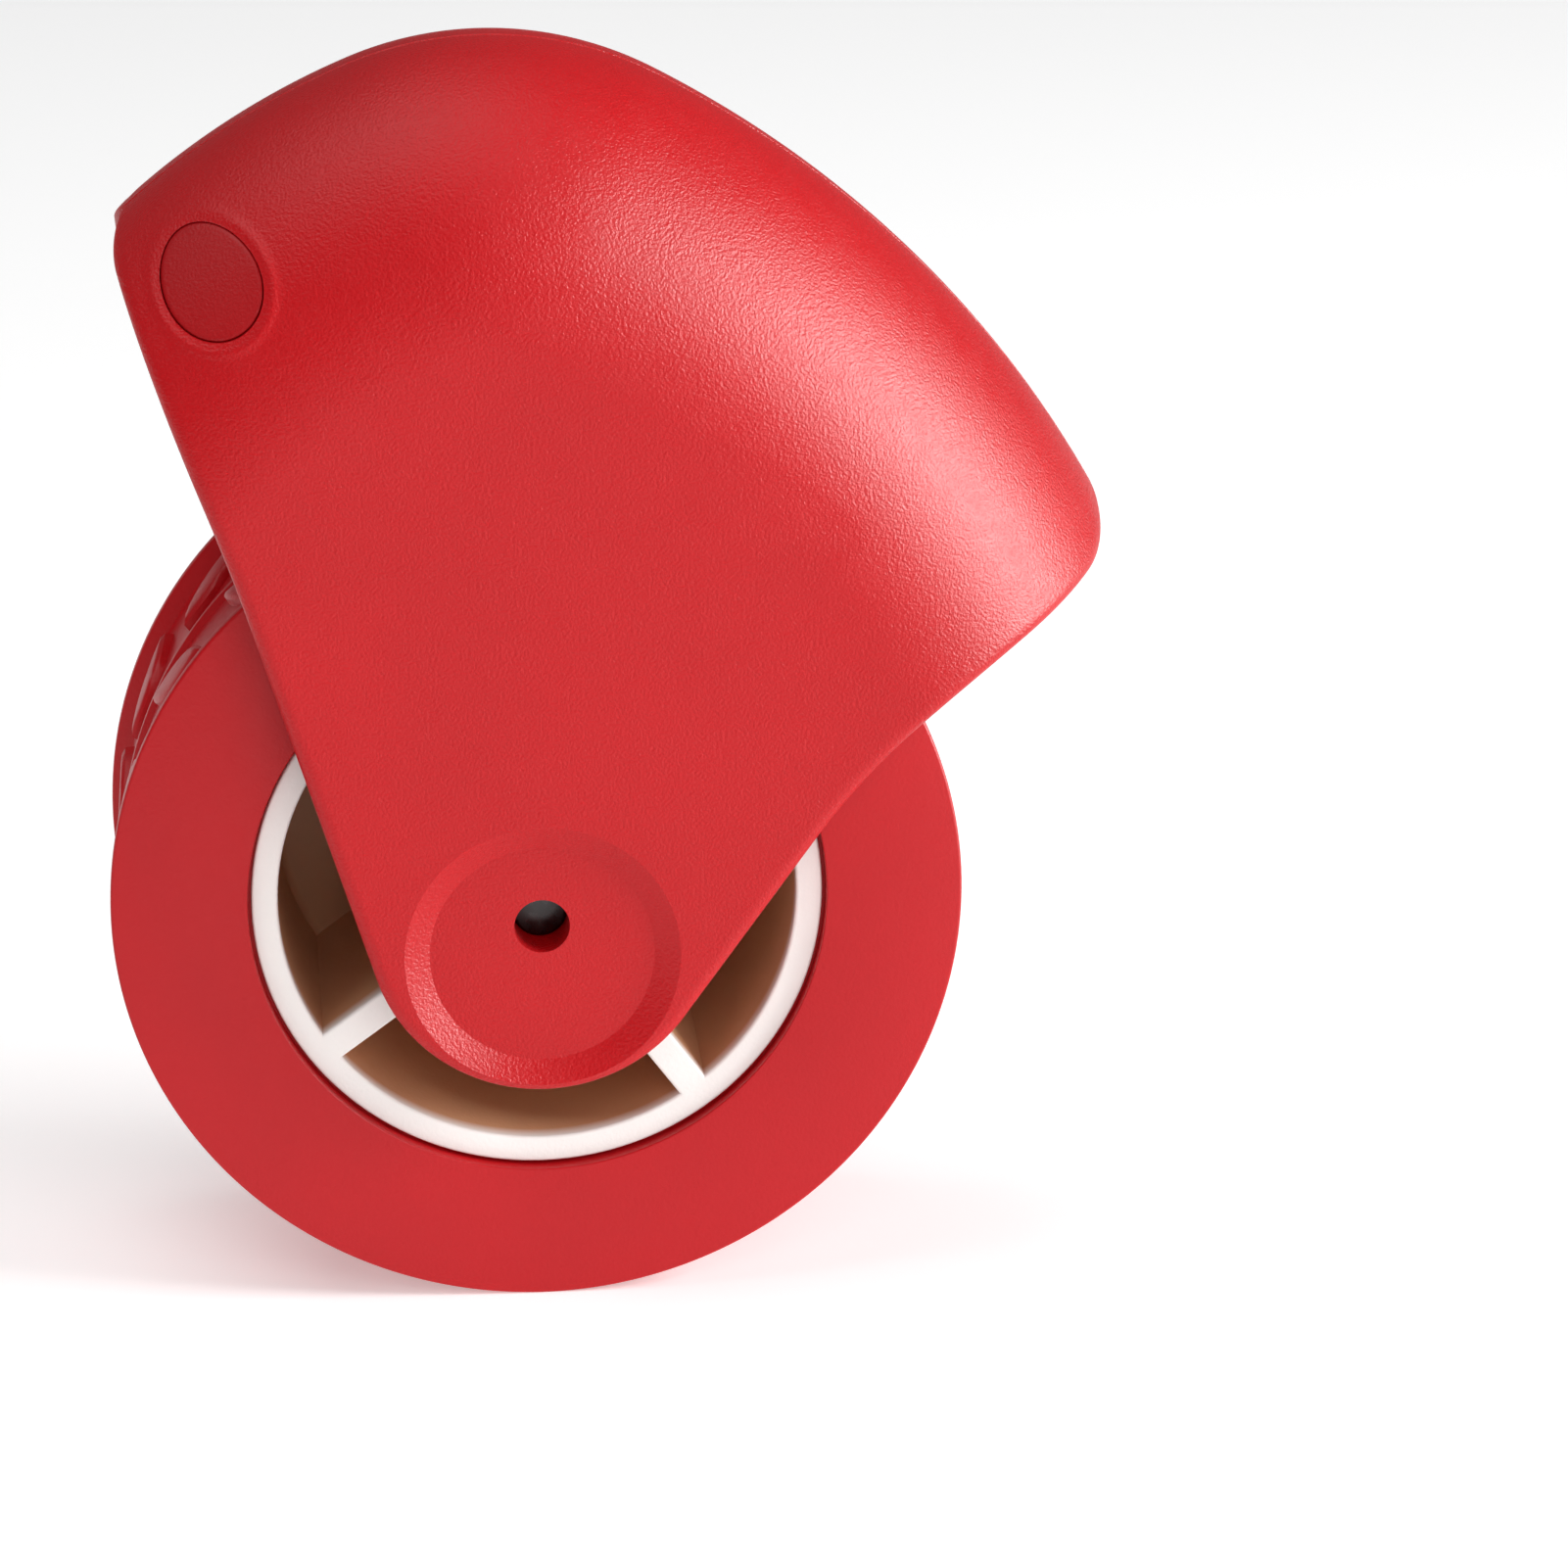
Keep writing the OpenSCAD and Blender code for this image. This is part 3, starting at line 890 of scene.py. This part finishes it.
class PASTRY_OT_drum(bpy.types.Operator):
    """Build the white drum: rim, closed back, hub tube and four ribs"""

    bl_idname = "pastry.drum"
    bl_label = "Ribbed drum"

    def execute(self, context):
        roller = context.scene.pastry_wheel_roller
        white = finish_of("drum")
        half = HALF_W - DRUM_SET_BACK
        low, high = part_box("hub_drum")
        hub_half = (high[1] - low[1]) / 2
        web = 2 * MM
        inner = DRUM_R - roller.drum_wall
        hub = roller.hub_radius
        bore = PIN_R + 0.05 * MM
        ribs = 4
        overlap = 1.2 * MM
        edge = 0.35 * MM
        corners = [
            (bore, -hub_half, 0.2 * MM), (hub, -hub_half, edge),
            (hub, half - web, 0.8 * MM), (inner, half - web, 0.8 * MM),
            (inner, -half, edge), (DRUM_R, -half, 0.3 * MM),
            (DRUM_R, half, 0.3 * MM), (hub, half, 0.2 * MM),
            (hub, hub_half, 0.2 * MM), (bore, hub_half, 0.2 * MM)]
        drum = shown("hub_drum_skin", revolve(rounded(corners), 192), white)
        for k in range(ribs):
            turn = roller.rib_angle + TAU / ribs * k
            bm = bmesh.new()
            bmesh.ops.create_cube(bm, size=1)
            start, end = hub - overlap, inner + overlap
            rear = half - web / 2
            bmesh.ops.scale(bm, vec=(end - start, half + rear, roller.rib_width), verts=bm.verts)
            bmesh.ops.translate(bm, vec=((start + end) / 2, (rear - half) / 2, 0), verts=bm.verts)
            front = [e for e in bm.edges
                     if all(v.co.y < 0 for v in e.verts)
                     and abs(e.verts[0].co.z - e.verts[1].co.z) < 1e-6]
            bmesh.ops.bevel(bm, geom=front, offset=edge, segments=3, profile=0.5,
                            affect="EDGES")
            bmesh.ops.rotate(bm, cent=(0, 0, 0), matrix=Matrix.Rotation(-turn, 3, "Y"),
                             verts=bm.verts)
            bmesh.ops.translate(bm, vec=AXLE, verts=bm.verts)
            cut(drum, shown("rib", bm, white), "UNION")
        smooth(drum)
        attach(drum, "wheel")
        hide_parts("hub_drum")
        return {"FINISHED"}


class PASTRY_OT_axle(bpy.types.Operator):
    """Build the steel axle pin and finish the handle screw"""

    bl_idname = "pastry.axle"
    bl_label = "Axle pin and screw"

    def execute(self, context):
        steel = finish_of("steel")
        rounding = 0.4 * MM
        corners = [(0, -PIN_HALF, 0), (PIN_R, -PIN_HALF, rounding),
                   (PIN_R, PIN_HALF, rounding), (0, PIN_HALF, 0)]
        pin = shown("axle_pin_bar", revolve(rounded(corners), 96), steel)
        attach(pin, "handle")
        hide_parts("axle_pin")
        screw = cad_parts["handle_screw"]
        screw.data.materials.clear()
        screw.data.materials.append(steel)
        return {"FINISHED"}


class PASTRY_OT_stage(bpy.types.Operator):
    """Set up the pale floor, the soft light and the camera"""

    bl_idname = "pastry.stage"
    bl_label = "Stage"

    def execute(self, context):
        scene = context.scene
        bm = bmesh.new()
        bmesh.ops.create_grid(bm, x_segments=1, y_segments=1, size=3)
        floor = shown("floor", bm, stage_white("pastry_floor"))

        world = scene.world or bpy.data.worlds.new("studio")
        scene.world = world
        world.use_nodes = True
        sky = world.node_tree.nodes["Background"]
        sky.inputs["Color"].default_value = (1, 1, 1, 1)
        sky.inputs["Strength"].default_value = 0.14

        target = AXLE + Vector((25.7, 0, 5.7)) * MM

        def lamp(name, energy, size, place, gleams=True, fills=True):
            data = bpy.data.lights.new(name, "AREA")
            data.energy = energy
            data.size = size
            made = bpy.data.objects.new(name, data)
            made.location = target + Vector(place)
            made.rotation_euler = (-Vector(place)).to_track_quat("-Z", "Y").to_euler()
            made.visible_glossy = gleams
            made.visible_diffuse = fills
            scene.collection.objects.link(made)

        lamp("key_light", 8, 0.4, (0.85, -0.25, 0.42), gleams=False)
        lamp("front_light", 4.6, 0.8, (0.2, -1.0, 0.5), gleams=False)
        lamp("top_light", 5, 0.9, (-0.3, 0.0, 1.0))
        lamp("gleam_light", 42, 0.75, (0.9, -0.35, 0.32), fills=False)

        azimuth, elevation = math.radians(-4.84), math.radians(19.19)
        away = Vector((math.sin(azimuth) * math.cos(elevation),
                       -math.cos(azimuth) * math.cos(elevation), math.sin(elevation)))
        data = bpy.data.cameras.new("camera")
        data.lens = 159.4
        data.sensor_width = 36
        data.clip_start = 0.05
        camera = bpy.data.objects.new("camera", data)
        distance = 0.7
        camera.location = target + away * distance
        camera.rotation_euler = (-away).to_track_quat("-Z", "Y").to_euler()
        scene.collection.objects.link(camera)
        scene.camera = camera
        scene.view_settings.view_transform = "Standard"
        scene.view_settings.look = "None"
        return {"FINISHED"}


OPERATORS = (PASTRY_OT_grip, PASTRY_OT_plug, PASTRY_OT_ring, PASTRY_OT_leaves, PASTRY_OT_drum,
             PASTRY_OT_axle, PASTRY_OT_stage)
SETTINGS = {"pastry_wheel_grip": PastryWheelGrip, "pastry_wheel_roller": PastryWheelRoller,
            "pastry_wheel_look": PastryWheelLook}


class PASTRY_PT_panel(bpy.types.Panel):
    """Lists the wheel's settings and the steps that build it"""

    bl_idname = "PASTRY_PT_panel"
    bl_label = "Pastry Cutter Wheel"
    bl_space_type = "VIEW_3D"
    bl_region_type = "UI"
    bl_category = "Pastry Wheel"

    def draw(self, context):
        column = self.layout.column()
        for key, group in SETTINGS.items():
            settings = getattr(context.scene, key)
            for name in group.__annotations__:
                column.prop(settings, name)
        for step in OPERATORS:
            column.operator(step.bl_idname)


def register():
    for group in SETTINGS.values():
        bpy.utils.register_class(group)
    for step in OPERATORS:
        bpy.utils.register_class(step)
    bpy.utils.register_class(PASTRY_PT_panel)
    for key, group in SETTINGS.items():
        setattr(bpy.types.Scene, key, bpy.props.PointerProperty(type=group))


def unregister():
    for key in SETTINGS:
        delattr(bpy.types.Scene, key)
    bpy.utils.unregister_class(PASTRY_PT_panel)
    for step in reversed(OPERATORS):
        bpy.utils.unregister_class(step)
    for group in reversed(list(SETTINGS.values())):
        bpy.utils.unregister_class(group)


def main():
    register()
    for step in OPERATORS:
        area, name = step.bl_idname.split(".")
        getattr(getattr(bpy.ops, area), name)()


if __name__ == "__main__":
    main()
